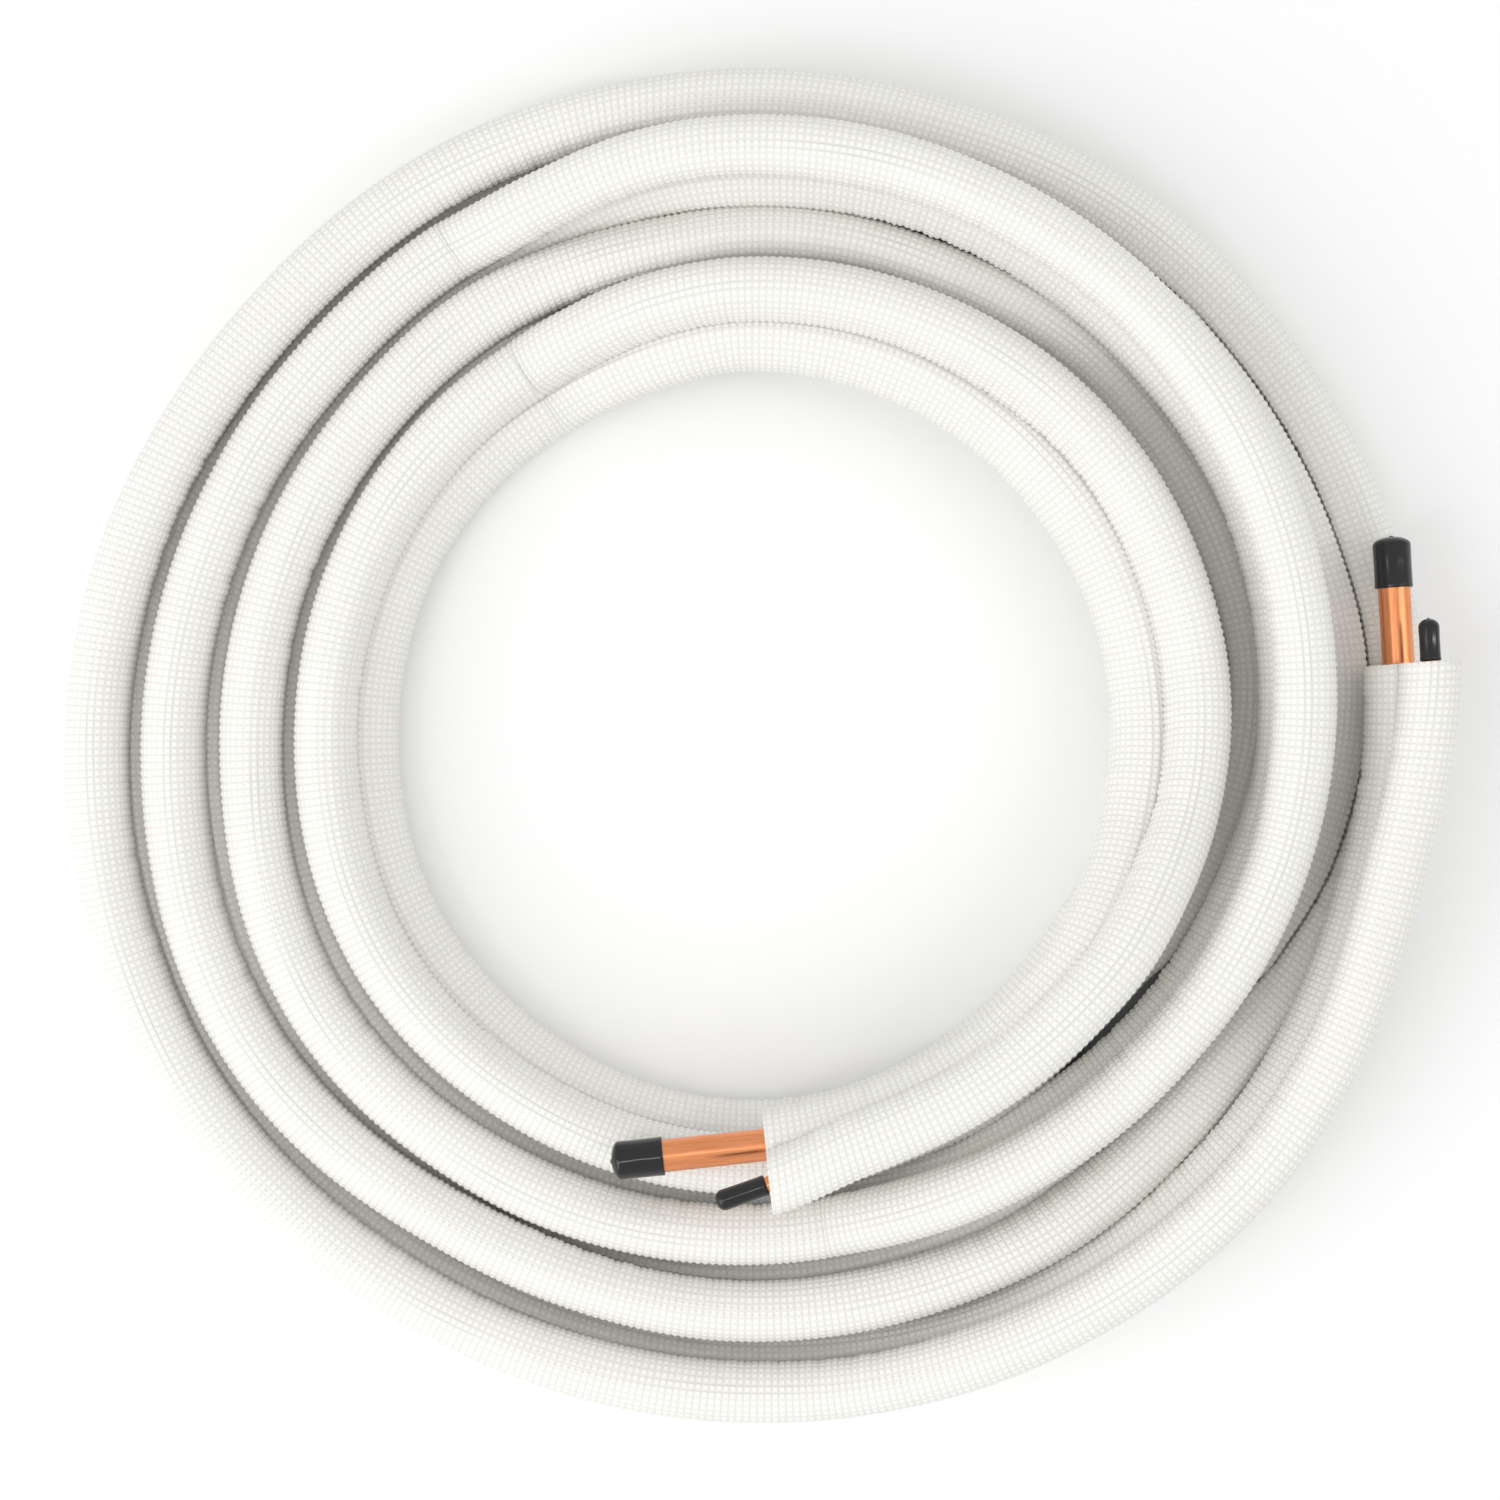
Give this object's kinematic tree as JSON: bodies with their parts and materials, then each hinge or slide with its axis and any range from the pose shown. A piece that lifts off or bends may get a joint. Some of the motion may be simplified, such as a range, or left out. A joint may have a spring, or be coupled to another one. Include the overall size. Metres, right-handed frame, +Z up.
{
  "type": "mini split line set",
  "caption": "Coiled pair of foam-jacketed copper refrigerant lines, a thick suction line bonded to a thin liquid line, lying flat with capped bare copper ends.",
  "frame": {"origin": "on the floor under the middle of the coil's bounding box", "axes": "+Z up through the coil's eye, +X towards the side where the outer end lies, +Y up the picture"},
  "size_m": [0.548, 0.5378, 0.1044],
  "materials": {
    "foam": "matt white embossed polyethylene foam",
    "copper": "satin bare copper",
    "vinyl": "glossy black vinyl"
  },
  "bodies": {
    "root": {"suction_line_jacket": "foam", "liquid_line_jacket": "foam", "suction_line_tube": "copper", "liquid_line_tube": "copper", "suction_cap_outer_end": "vinyl", "suction_cap_inner_end": "vinyl", "liquid_cap_outer_end": "vinyl", "liquid_cap_inner_end": "vinyl"}
  },
  "joints": []
}
